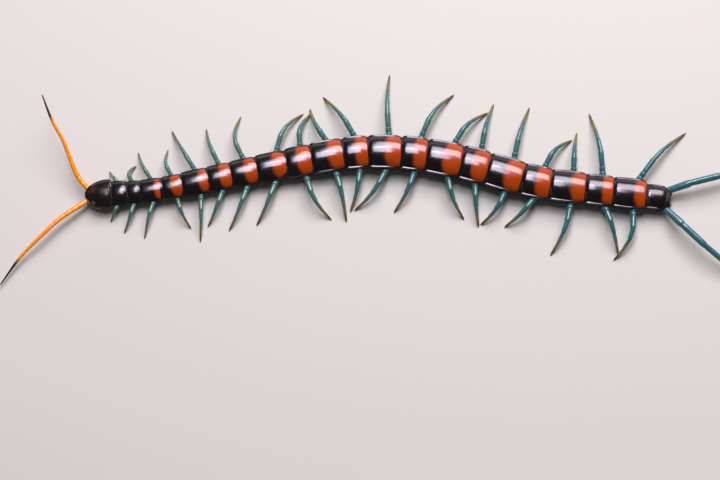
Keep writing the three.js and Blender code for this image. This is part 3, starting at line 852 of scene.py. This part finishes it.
print("head is", HEAD_WIDTH, "mm wide and", HEAD_TOP, "mm high")

# %% Head shield
SHIELD_COLUMNS = [
    0, 0.05, 0.12, 0.22, 0.32, 0.42, 0.52, 0.61, 0.69, 0.76, 0.82, 0.87, 0.905, 0.935, 0.96, 0.98, 1.0,
]
SHIELD_REAR = [4.82, 4.94, 5.05, 5.15, 5.24]
SHIELD_ANGLES, SHIELD_SHEET = np.radians(np.linspace(7, 90, 20)), 0.12
SHIELD_RIM, SHIELD_GROOVE, FRONT_GROOVE = (0.045, 0.955, 0.05), (0.02, 0.88, 0.06), (0.06, 0, 0.09)
FRONT_GROOVE_LONG, REAR_FOLD = 1.5, (0.1, 4.97, 0.16)
REAR_DROP, REAR_DROP_FROM, REAR_DROP_REACH = 0.28, 4.76, 0.5
# Reddish areas: a ridge of strength along the head, and one across it.
WARM_AREAS = [((0.3, 1.6, 1.4), (1, 0.3, 0.6)), ((0.25, 5.24, 0.35), (1, 0.15, 0.4))]
SHIELD_WAVES = ((0.03, 0.6), (0.01, 2.2))


def head_shield():
    outs = mirrored(SHIELD_COLUMNS)
    rows, warms = [], []
    for distance in list(HEAD_FRONT * (1 - np.cos(SHIELD_ANGLES))) + SHIELD_REAR:
        groove = ridge(outs, *FRONT_GROOVE) * max(0, 1 - distance / FRONT_GROOVE_LONG)
        groove = groove + ridge(abs(outs), *SHIELD_GROOVE)
        fall = REAR_DROP * max(0, (distance - REAR_DROP_FROM) / REAR_DROP_REACH) ** 2
        points = np.array([head_skin(distance, out) for out in outs])
        points[:, 2] += ridge(abs(outs), *SHIELD_RIM) - groove + ridge(distance, *REAR_FOLD) - fall
        rows.append(uneven(points, *SHIELD_WAVES))
        warms.append(sum(ridge(distance, *along) * ridge(outs, *across) for along, across in WARM_AREAS))
    skin = Skin()
    skin.patch(np.array(rows)[:, ::-1], loop=False, warm=np.array(warms)[:, ::-1])
    skin.piece("head_shield", head_finish, "head_plate", ["head"], SHIELD_SHEET)


head_shield()
print("head shield made")

# %% [markdown]
# ## Under the shield
# The capsule is a closed rounded body whose sides bulge a little under the shield's rim. In front it
# ends in a lip. Both are lofts: ovals set one behind the other along the head, joined into a skin.

# %% Head capsule and lip
CAPSULE_DISTANCES = [0.12, 0.3, 0.6, 1.0, 1.5, 2.1, 2.8, 3.5, 4.2, 4.7, 5.1, 5.5]
CAPSULE_WIDTH, CAPSULE_HEIGHT, CAPSULE_WARM, LIP_WARM = 0.93, 0.8, 0.12, 0.5
# Here and below, a station is a distance from the snout, a half width, a base and a top.
LIP = [(0.12, 0.5, 1.9, 2.3), (0.3, 0.95, 1.75, 2.35), (0.8, 1.2, 1.6, 2.3), (1.5, 1.1, 1.55, 2.2)]


def oval_rows(stations, section_power=2.2, sides=40):
    """Rows of a rounded body through the stations."""
    c, s = np.cos(circle(sides)), np.sin(circle(sides))
    out = np.sign(s) * abs(s) ** (2 / section_power)
    up = np.sign(c) * abs(c) ** (2 / section_power)
    rows = []
    for distance, half, base, top in stations:
        place, back, right = chain_at(distance, stiff=0)
        heights = (base + top) / 2 + up * (top - base) / 2
        rows.append(place + np.outer(out * half, right) + np.outer(heights, UP))
    return np.array(rows)[:, ::-1]


stations = []
for distance in CAPSULE_DISTANCES:
    half, base, top = head_sizes(distance)
    stations.append((distance, half * CAPSULE_WIDTH, base, base + (top - base) * CAPSULE_HEIGHT))
capsule = Skin()
capsule.patch(oval_rows(stations), warm=CAPSULE_WARM)
capsule.patch(oval_rows(LIP), warm=LIP_WARM)
capsule.piece("head_capsule", head_finish, "head_plate", ["head"])
print("head capsule made")

# %% [markdown]
# ## Simple eyes
# Four simple eyes sit close together on each side of the head, near its front edge. Each is a flat
# black bead in a slightly wider socket. Both lie square to the shield, so the direction of its
# surface is worked out from two short steps, one along the head and one outwards.

# %% Make the simple eyes
EYE_RADIUS = 0.24
EYES = [(1.35, 0.86), (1.6, 0.76), (1.75, 0.9), (2.0, 0.81)]
STEP_ALONG, STEP_OUT = 0.1, 0.02
BEAD, SOCKET = np.array([0.68, 0.6, 0.55]), np.array([0.92, 0.84, 0.36])
SOCKET_SINK, SOCKET_WARM = 0.04, 0.25
for name, side in SIDES.items():
    eyes, sockets = Skin(), Skin()
    for distance, share in EYES:
        centre = head_skin(distance, side * share)
        along = unit(head_skin(distance + STEP_ALONG, side * share) - centre)
        outward = unit(head_skin(distance, side * (share + STEP_OUT)) - centre)
        normal = unit(np.cross(along, outward) * side)
        normal = normal if normal[2] > 0 else -normal
        axes = (along, np.cross(normal, along), normal)
        ball(eyes, centre, EYE_RADIUS * BEAD, axes)
        ball(sockets, centre - normal * SOCKET_SINK, EYE_RADIUS * SOCKET, axes, warm=SOCKET_WARM)
    eyes.piece(f"simple_eyes_{name}", eye_finish, "eye_lens", ["head"])
    sockets.piece(f"eye_sockets_{name}", head_finish, "head_plate", ["head"])
print("simple eyes:", 2 * len(EYES))

# %% [markdown]
# ## The plate of the venom claws
# Behind the mouth lies the broad plate that carries the venom claws, with two small toothed blades
# at its front edge. Undersides are hidden in most views, but a model that is picked up shows them.
# Plate and blades are lofts like the capsule, with a squarer section, and the teeth are short spikes.

# %% Claw-bearing plate and toothed blades
CLAW_PLATE = [
    (1.62, 0.5, 1.35, 1.95), (1.75, 1.3, 1.15, 2.05), (2.1, 1.75, 1.05, 2.1), (2.7, 2.1, 0.97, 2.1),
    (3.4, 2.32, 0.93, 2.1), (4.2, 2.4, 0.92, 2.1), (5.05, 2.3, 0.95, 2.05), (5.35, 2.0, 1.05, 1.9),
]
BLADE = [(1.35, 0.28, 1.3, 1.6), (1.5, 0.42, 1.2, 1.62), (1.9, 0.5, 1.15, 1.6)]
PLATE_SECTION, PLATE_DARKNESS, BLADE_DARKNESS = 2.8, 0.1, 0.35
BLADE_SIDES, BLADE_OUT = 20, 0.48
TEETH, TEETH_FROM, TEETH_APART = 4, 0.22, 0.17
TOOTH_ALONG, TOOTH_HEIGHT, TOOTH_LENGTH, TOOTH_FALL, TOOTH_RADIUS = 1.45, 1.42, 0.3, 0.04, 0.09
claw_plate = Skin()
claw_plate.patch(oval_rows(CLAW_PLATE, PLATE_SECTION), share=PLATE_DARKNESS)
place, back, right = chain_at(TOOTH_ALONG, stiff=0)
for side in SIDES.values():
    blade_rows = oval_rows(BLADE, sides=BLADE_SIDES) + right * side * BLADE_OUT
    claw_plate.patch(blade_rows, share=BLADE_DARKNESS)
    for tooth in range(TEETH):
        root = place + right * side * (TEETH_FROM + TEETH_APART * tooth) + UP * TOOTH_HEIGHT
        spike(claw_plate, root, root - back * TOOTH_LENGTH - UP * TOOTH_FALL, TOOTH_RADIUS)
claw_plate.piece("claw_plate", claw_finish, "claw_horn", ["head"])
print("claw plate made")

# %% [markdown]
# ## Venom claws
# The first pair of legs has become a pair of claws that curl round from the sides to the middle under
# the head. Each has a stout base, two very short links and a long curved point. They are tubes along
# a smooth line with a neck at each link.

# %% Make the venom claws
# Points of the claw's line: distance from the snout, distance out from the middle, and height.
CLAW_PATH = [
    (3.5, 1.75, 1.35), (2.7, 2.25, 1.3), (1.85, 2.05, 1.2), (1.1, 1.5, 1.1),
    (0.65, 0.9, 1.05), (0.55, 0.32, 1.05),
]
# Share of the line and radius there. The three necks are at 0.42, 0.5 and 0.58.
CLAW_SHAPE = [
    (0, 0.5), (0.08, 0.56), (0.2, 0.6), (0.32, 0.57), (0.39, 0.52), (0.42, 0.44), (0.44, 0.48),
    (0.48, 0.47), (0.5, 0.4), (0.52, 0.45), (0.56, 0.43), (0.58, 0.37), (0.61, 0.4), (0.68, 0.36),
    (0.76, 0.29), (0.84, 0.22), (0.91, 0.16), (0.96, 0.1), (1, 0.03),
]
CLAW_SIDES, CLAW_WIDE, POINT_FROM, POINT_DARKENS = 18, 0.95, 0.6, 2.4
for name, side in SIDES.items():
    places = []
    for distance, out, height in CLAW_PATH:
        place, back, right = chain_at(distance)
        places.append(place + right * side * out + UP * height)
    line = smooth_line(places)
    rings, shares = [], []
    for share, radius in CLAW_SHAPE:
        centre, ahead = place_on(line, share), ahead_on(line, share)
        rings.append(ring_of_points(centre, ahead, radius, CLAW_SIDES, wide=CLAW_WIDE))
        shares.append(max(0, (share - POINT_FROM) * POINT_DARKENS))
    claw = Skin()
    claw.patch(rings, share=shares)
    claw.piece(f"venom_claw_piece_{name}", claw_finish, "claw_horn", [f"venom_claw_{name}"])
print("venom claws made")

# %% [markdown]
# ## Feelers
# A feeler is a string of 17 short articles. It comes from under the head's front rim, is thickest a
# little way out and tapers from there to a thin point. Each article is a little barrel, narrower at
# its start. The necks are shallow, so that the feeler reads as one smooth whip.

# %% Make the feelers
FEELER_PATHS = {
    "right": [(-54, 11, 2.05), (-56.5, 14, 2.7), (-59.5, 21, 5), (-61.5, 24.5, 6.5), (-63.5, 29.5, 8)],
    "left": [(-54, 9.5, 2.05), (-60, 5, 2.9), (-63, 2, 3), (-67.5, -2.5, 2), (-71.5, -8, 1)],
}
ARTICLES, SAMPLES, FEELER_SIDES, FEELER_END = 17, 300, 16, 0.05
RADIUS_SHARES, FEELER_RADII = [0, 0.04, 0.1, 0.75, 1], [0.46, 0.5, 0.57, 0.32, 0.13]
# Inside one article: share of it, width over the feeler's own radius, strength of the seam's colour.
ARTICLE_SHAPE = [
    (0.0, 0.93, 0.7), (0.08, 0.965, 0.2), (0.3, 0.99, 0), (0.6, 1.0, 0), (0.85, 0.99, 0), (0.96, 0.96, 0.2),
]
for name, path in FEELER_PATHS.items():
    line = smooth_line(np.array(path) - PLAN_SHIFT, SAMPLES)
    rings, shares, joints = [], [], []
    for article in range(ARTICLES):
        for local, wide, joint in ARTICLE_SHAPE:
            share = (article + local) / ARTICLES
            ahead = ahead_on(line, share)
            radius = np.interp(share, RADIUS_SHARES, FEELER_RADII) * wide
            rings.append(ring_of_points(place_on(line, share), ahead, radius, FEELER_SIDES))
            shares.append(share)
            joints.append(joint)
    rings.append(ring_of_points(place_on(line, 1.0), ahead, FEELER_END, FEELER_SIDES))
    feeler = Skin()
    feeler.patch(rings, share=shares + [1.0], joint=joints + [0.0])
    feeler.piece(f"feeler_{name}", feeler_finish, "feeler_skin", [f"antenna_{name}"])
print("feelers made with", ARTICLES, "articles each")

# %% [markdown]
# ## Walking legs
# A leg has two short articles at the hip, a thigh of two, a shin, a foot of two and a claw. Its pose
# is set by three values: the lean of the thigh, the lean of the foot and the reach. The articles are
# straight and swell a little towards their far end, with a narrow, darker neck at each joint, so the
# bends fall at the joints as they do on the animal.

# %% Leg poses and articles
LEG_POSES = {
    "right": [
        (-35, -30, 4.5), (-25, 45, 5.5), (-25, -10, 8), (-20, 20, 7.5), (-20, -15, 11.5),
        (-15, 0, 10), (-15, 30, 11.5), (25, 60, 12), (5, 45, 9.5), (-25, -5, 10),
        (-25, -35, 13), (-5, 5, 15.5), (15, 40, 14), (20, 45, 12), (-5, 5, 12.5),
        (-5, 5, 14), (15, 45, 10.5), (-5, 5, 10.5), (-10, -20, 15.5), (30, 45, 16.5),
    ],
    "left": [
        (-35, -30, 4.5), (-20, -30, 7), (-25, -20, 8.5), (5, 25, 7.5), (-10, -15, 10.5),
        (-30, -40, 9), (-30, -40, 11), (-30, -40, 11), (5, 35, 11.5), (5, 0, 11.5),
        (-10, -25, 10), (-25, -50, 12), (-10, -30, 10.5), (20, 45, 10.5), (15, 25, 10),
        (-5, -35, 9.5), (-25, -45, 9.5), (-5, -25, 12.5), (25, 20, 11.5), (5, -35, 12.5),
    ],
}
HIP_OUT, HIP_HEIGHT = 0.3, 0.3
KNEE_SHARE, ANKLE_SHARE = 0.43, 0.68
KNEE_RISE, ANKLE_HEIGHT = 1.0, 1.9
FULL_LEG_RING, SHORT_LEG, SHORT_SLENDER = 6.5, 5, 0.8
# Joints of a leg as shares of its length, and the radius at each.
LEG_JOINTS = [0, 0.14, 0.2, 0.41, 0.59, 0.76, 0.89, 0.96]
LEG_RADII = [0.72, 0.74, 0.68, 0.62, 0.47, 0.38, 0.29, 0.2]


def hip_of(ring, side):
    distance = JOINTS[ring + 1] + RING_LENGTHS[ring] * HIP_ALONG
    place, back, right = chain_at(distance)
    height = BELLY_HEIGHT + HIP_HEIGHT * ring_height(ring)
    return place + right * side * RING_WIDTHS[ring] * HIP_OUT + UP * height, back, right


def leg_line(ring, side, pose):
    """The smooth line of a walking leg and how slender the leg is."""
    thigh, foot, reach = pose
    hip, back, right = hip_of(ring, side)

    def step(lean, share):
        turn = math.radians(lean)
        return (right * side * math.cos(turn) + back * math.sin(turn)) * share * reach

    slender = min(1, RING_WIDTHS[ring] / FULL_LEG_RING) * (SHORT_SLENDER if reach < SHORT_LEG else 1)
    knee = hip + step(thigh, KNEE_SHARE)
    ankle = knee + step((thigh + foot) / 2, ANKLE_SHARE - KNEE_SHARE)
    tip = ankle + step(foot, 1 - ANKLE_SHARE)
    knee[2] += KNEE_RISE * slender
    ankle[2] = ANKLE_HEIGHT * slender
    tip[2] = 0.0
    return smooth_line([hip, knee, ankle, tip]), slender


print("legs to make:", 2 * (RINGS - 1))

# %% A tube of straight articles
# Inside one article: share of it, width over the article's own radius, strength of the joint's colour.
LEG_ARTICLE = [
    (0.0, 0.80, 1.0), (0.04, 0.84, 0.9), (0.1, 0.92, 0.15), (0.3, 0.95, 0),
    (0.6, 1.0, 0), (0.85, 1.04, 0), (0.94, 1.0, 0.1), (0.985, 0.86, 0.9),
]
END_WIDTH, END_JOINT = 0.7, 0.5


def jointed_tube(skin, corners, radii, rank, sides=16, wide=0.94, high=1.06):
    """One closed tube over straight articles between the corners."""
    run = run_along(corners)
    rings, shares, joints = [], [], []
    for article in range(len(corners) - 1):
        start, end = corners[article], corners[article + 1]
        ahead = unit(end - start)
        for local, width, joint in LEG_ARTICLE:
            radius = np.interp(local, [0, 1], radii[article : article + 2]) * width
            rings.append(ring_of_points(start + (end - start) * local, ahead, radius, sides, wide, high))
            shares.append((run[article] + (run[article + 1] - run[article]) * local) / run[-1])
            joints.append(joint)
    rings.append(ring_of_points(corners[-1], ahead, radii[-1] * END_WIDTH, sides, wide, high))
    skin.patch(rings, share=shares + [1.0], joint=joints + [END_JOINT], rank=rank)


print("rings of points in one walking leg:", len(LEG_ARTICLE) * (len(LEG_JOINTS) - 1) + 1)

# %% Make the walking legs and their claws
SPUR_JOINT, SPUR_DOWN, SPUR_AHEAD, SPUR_FALL, SPUR_RADIUS = 6, 0.6, 0.35, 0.22, 0.07
SPUR_SHARE = 0.9
CLAW_BACK, CLAW_TIP_HEIGHT, CLAW_RADIUS, CLAW_BEND = 0.1, 0.02, 0.17, 0.07
CLAW_GRID = {"rows": 8, "sides": 10}
foot_claws = {name: Skin() for name in SIDES}
for name, side in SIDES.items():
    for ring, pose in enumerate(LEG_POSES[name]):
        line, slender = leg_line(ring, side, pose)
        corners = np.array([place_on(line, share) for share in LEG_JOINTS])
        radii = [radius * slender for radius in LEG_RADII]
        rank = ring / (RINGS - 2)
        leg = Skin()
        jointed_tube(leg, corners, radii, rank)
        ahead = unit(corners[-1] - corners[-2])
        under = -unit(np.cross(ahead, np.cross(UP, ahead)))
        root = corners[SPUR_JOINT] + under * radii[SPUR_JOINT] * SPUR_DOWN
        tip = root + ahead * SPUR_AHEAD + under * SPUR_FALL
        spike(leg, root, tip, SPUR_RADIUS, share=SPUR_SHARE, joint=0, rank=rank)
        number = f"{name}_{ring + 1:02d}"
        leg.piece(f"walking_leg_{number}", leg_finish, "leg_skin", [f"leg_{number}"])
        root, tip = corners[-1] - ahead * CLAW_BACK, np.array([*line[-1][:2], CLAW_TIP_HEIGHT])
        spike(foot_claws[name], root, tip, CLAW_RADIUS * slender, bend=UP * CLAW_BEND, **CLAW_GRID)
print("walking legs made")

# %% [markdown]
# ## The last legs
# The last pair trails behind and is longer and stouter than the others. The first long article has a
# few small spines along its inner side. The body ends between them in two smooth hip blocks that
# each end in a blunt point.

# %% Make the last legs
# The leans of the first, the second and all later articles, and how high the hip sits.
LAST_LEGS = {"left": ((42, 38, 32), 0.7), "right": ((23, 21, 15), 0.9)}
LAST_ARTICLES = [5.6, 6.2, 5.1, 3.6, 2.1, 1.0]
LAST_HEIGHTS = [3.2, 3.3, 2.4, 1.5, 0.9, 0.05]
LAST_RADII = [0.82, 0.82, 0.7, 0.56, 0.44, 0.3]
LAST_HIP_OUT, LAST_HIP_AHEAD, LAST_SIDES = 1.5, 0.4, 18
SPINES, SPINES_FROM, SPINES_APART, SPINE_SHARE, SPINE_RADIUS = 5, 0.35, 0.13, 0.5, 0.09
SPINE_IN, SPINE_UP, SPINE_ROW_STEP, SPINE_ROWS = 0.45, 0.5, 0.2, 3
SPINE_BACK, SPINE_POINTS_IN = 0.28, 0.3
LAST_CLAW_RADIUS, LAST_CLAW_BEND = 0.22, 0.1
for name, (leans, rise) in LAST_LEGS.items():
    side = SIDES[name]
    place, back, right = chain_at(JOINTS[-1] - LAST_HIP_AHEAD)
    corners = [place + right * side * LAST_HIP_OUT + UP * (BELLY_HEIGHT + rise)]
    for article, length in enumerate(LAST_ARTICLES):
        turn = math.radians(leans[min(article, len(leans) - 1)])
        corner = corners[-1] + (back * math.cos(turn) + right * side * math.sin(turn)) * length
        corner[2] = LAST_HEIGHTS[article]
        corners.append(corner)
    leg = Skin()
    jointed_tube(leg, np.array(corners[:-1]), LAST_RADII, rank=1.0, sides=LAST_SIDES)
    inner = -right * side
    for spine in range(SPINES):
        out = inner * SPINE_IN + UP * (SPINE_UP - SPINE_ROW_STEP * (spine % SPINE_ROWS))
        root = corners[0] + (corners[1] - corners[0]) * (SPINES_FROM + SPINES_APART * spine) + out
        tip = root + back * SPINE_BACK + inner * SPINE_POINTS_IN
        spike(leg, root, tip, SPINE_RADIUS, share=SPINE_SHARE, joint=0, rank=1.0)
    leg.piece(f"last_leg_{name}", leg_finish, "leg_skin", [f"leg_{name}_21"])
    spike(foot_claws[name], corners[-2], corners[-1], LAST_CLAW_RADIUS, bend=UP * LAST_CLAW_BEND, **CLAW_GRID)
for name, claws in foot_claws.items():
    nodes = [f"leg_{name}_{k:02d}" for k in range(1, RINGS + 1)]
    claws.piece(f"foot_claws_{name}", claw_finish, "claw_horn", nodes)
print("last legs made")

# %% Hip blocks behind the last plate
# Distance behind the last joint, and radius there.
BLOCK_SHAPE = [
    (-1.4, 0.95), (-0.9, 1.08), (-0.3, 1.12), (0.2, 1.08),
    (0.6, 0.95), (0.9, 0.72), (1.15, 0.42), (1.3, 0.12),
]
BLOCK_OUT, BLOCK_UP, BLOCK_FALL, BLOCK_SIDES, BLOCK_HIGH, BLOCK_PALE = 1.15, 1.0, 0.1, 22, 0.86, 0.8
blocks = Skin()
place, back, right = chain_at(JOINTS[-1])
for side in SIDES.values():
    rings = []
    for along, radius in BLOCK_SHAPE:
        height = BELLY_HEIGHT + BLOCK_UP - BLOCK_FALL * max(0, along)
        centre = place + back * along + right * side * BLOCK_OUT + UP * height
        rings.append(ring_of_points(centre, back, radius, BLOCK_SIDES, high=BLOCK_HIGH))
    blocks.patch(rings, hard=1.0, pale=BLOCK_PALE)
blocks.piece("hip_blocks", flank_finish, "flank_skin", ["trunk_20_21"])
print("hip blocks made")

# %% [markdown]
# ## Floor, light and camera
# The model stands on a plain pale floor. Two soft lights hang high on the animal's right. The smaller
# one draws the narrow streak on the front half of the back, and the larger, stronger one, nearer to
# the tail, draws the wide streak on the rear half. A long low one far out on the same side lights the
# rims, and a faint warm room fills the shadows. The camera looks steeply down, as in the picture that
# the model follows, and a long lens keeps the proportions true.

# %% Floor
FLOOR_HALF, FLOOR_ROUGHNESS, FLOOR_COLOUR = 1.5, 0.7, paint(190, 186, 180)
corners = [(x * FLOOR_HALF, y * FLOOR_HALF, 0) for x, y in ((-1, -1), (1, -1), (1, 1), (-1, 1))]
floor_mesh = bpy.data.meshes.new("floor")
floor_mesh.from_pydata(corners, [], [(0, 1, 2, 3)])
floor = bpy.data.objects.new("floor", floor_mesh)
bpy.context.scene.collection.objects.link(floor)
floor_finish, tree, shader = new_material("pale_floor", FLOOR_ROUGHNESS)
shader.inputs["Base Color"].default_value = FLOOR_COLOUR
floor_mesh.materials.append(floor_finish)
print("floor laid")

# %% Lights
COOL, NEAR_WHITE, ROOM_COLOUR, ROOM_STRENGTH = (0.93, 0.9, 1.0), (1.0, 0.95, 1.0), (1.0, 0.96, 0.92, 1), 0.08


def look_at(thing, target):
    """Turns a light or a camera towards a place."""
    thing.rotation_euler = (Vector(target) - thing.location).to_track_quat("-Z", "Y").to_euler()


def soft_light(name, place, target, size, power, colour):
    """A rectangular light. Its place, its target and its size are in metres, its power in watts."""
    data = bpy.data.lights.new(name, "AREA")
    data.shape, data.size, data.size_y, data.energy, data.color = "RECTANGLE", *size, power, colour
    lamp = bpy.data.objects.new(name, data)
    lamp.location = place
    look_at(lamp, target)
    bpy.context.scene.collection.objects.link(lamp)


soft_light("front_window", (-0.03, 0.18, 0.5), (-0.02, 0, 0), size=(0.17, 0.26), power=1.9, colour=COOL)
soft_light("rear_window", (0.12, 0.37, 0.46), (0.02, 0, 0), size=(0.4, 0.36), power=4.5, colour=NEAR_WHITE)
soft_light("low_window", (0.1, 0.8, 0.16), (0, 0, 0), size=(1.2, 0.14), power=0.7, colour=NEAR_WHITE)
world = bpy.data.worlds.new("pale_room")
world.use_nodes = True
room = world.node_tree.nodes["Background"].inputs
room["Color"].default_value, room["Strength"].default_value = ROOM_COLOUR, ROOM_STRENGTH
bpy.context.scene.world = world
bpy.context.scene.view_settings.view_transform = "Standard"
print("lights set")

# %% Camera
VIEW_HEIGHT = math.radians(76)
VIEW_TARGET = Vector((-0.00625, -0.01402, 0.0049))
VIEW_DISTANCE = 0.397
LENS, SENSOR = 100, 36
camera_data = bpy.data.cameras.new("camera")
camera_data.lens, camera_data.sensor_width = LENS, SENSOR
camera = bpy.data.objects.new("camera", camera_data)
camera.location = VIEW_TARGET + Vector((0, -math.cos(VIEW_HEIGHT), math.sin(VIEW_HEIGHT))) * VIEW_DISTANCE
look_at(camera, VIEW_TARGET)
bpy.context.scene.collection.objects.link(camera)
bpy.context.scene.camera = camera
print("camera at", [round(v, 3) for v in camera.location])
